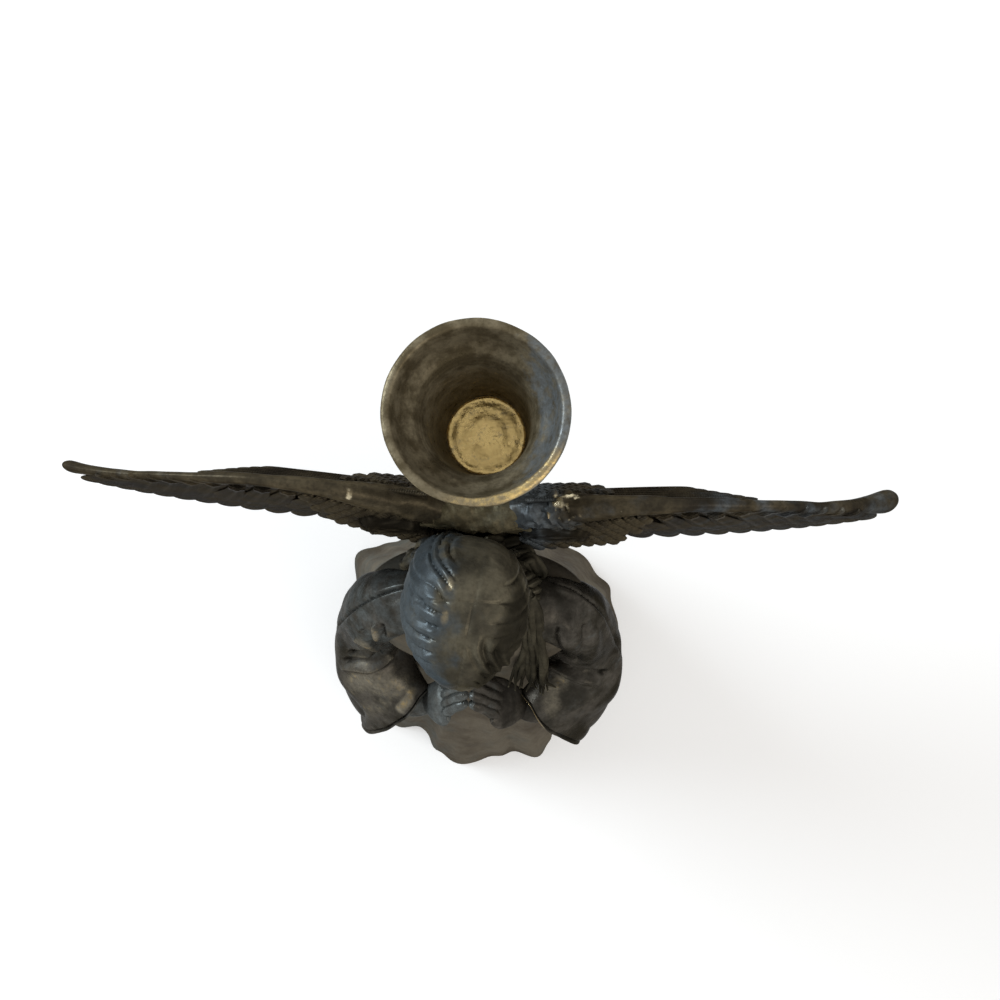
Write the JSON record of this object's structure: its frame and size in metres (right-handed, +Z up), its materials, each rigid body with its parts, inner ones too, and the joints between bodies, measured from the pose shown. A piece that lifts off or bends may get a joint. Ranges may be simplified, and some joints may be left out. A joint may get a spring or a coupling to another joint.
{
  "type": "figural candlestick",
  "caption": "Cast brass candlestick shaped as a praying angel with spread wings, a hollow flared gown for a base and a flared candle cup behind the bowed head.",
  "frame": {"origin": "on the standing surface, under the middle of the whole outline", "axes": "+Z up along the figure, the angel faces -Y, +X towards its own left wing"},
  "size_m": [0.2164, 0.1306, 0.262],
  "materials": {
    "gown_bronze": "satin grey-brown patina",
    "hair_bronze": "dark polished patina",
    "sleeve_bronze": "satin brown patina with worn edges",
    "hand_bronze": "dark satin patina",
    "wing_bronze": "dark satin patina with worn ridges",
    "bracket_bronze": "rough cast, olive brown",
    "cup_brass": "turned, dark outside and bright at the candle seat",
    "fastener_brass": "satin"
  },
  "bodies": {
    "root": {"gown_body": "gown_bronze", "head": "hair_bronze", "left_sleeve": "sleeve_bronze", "right_sleeve": "sleeve_bronze", "left_hand": "hand_bronze", "right_hand": "hand_bronze", "left_wing": "wing_bronze", "right_wing": "wing_bronze", "wing_bracket": "bracket_bronze", "candle_cup": "cup_brass", "neck_stud": "fastener_brass", "neck_washer": "fastener_brass", "neck_nut": "fastener_brass", "cup_stud": "fastener_brass", "cup_washer": "fastener_brass", "cup_nut": "fastener_brass", "bracket_screw_upper": "fastener_brass", "bracket_nut_upper": "fastener_brass", "left_wing_screw_upper": "fastener_brass", "right_wing_screw_upper": "fastener_brass", "bracket_screw_lower": "fastener_brass", "bracket_nut_lower": "fastener_brass", "left_wing_screw_lower": "fastener_brass", "right_wing_screw_lower": "fastener_brass", "left_arm_screw": "fastener_brass", "right_arm_screw": "fastener_brass"}
  },
  "joints": []
}
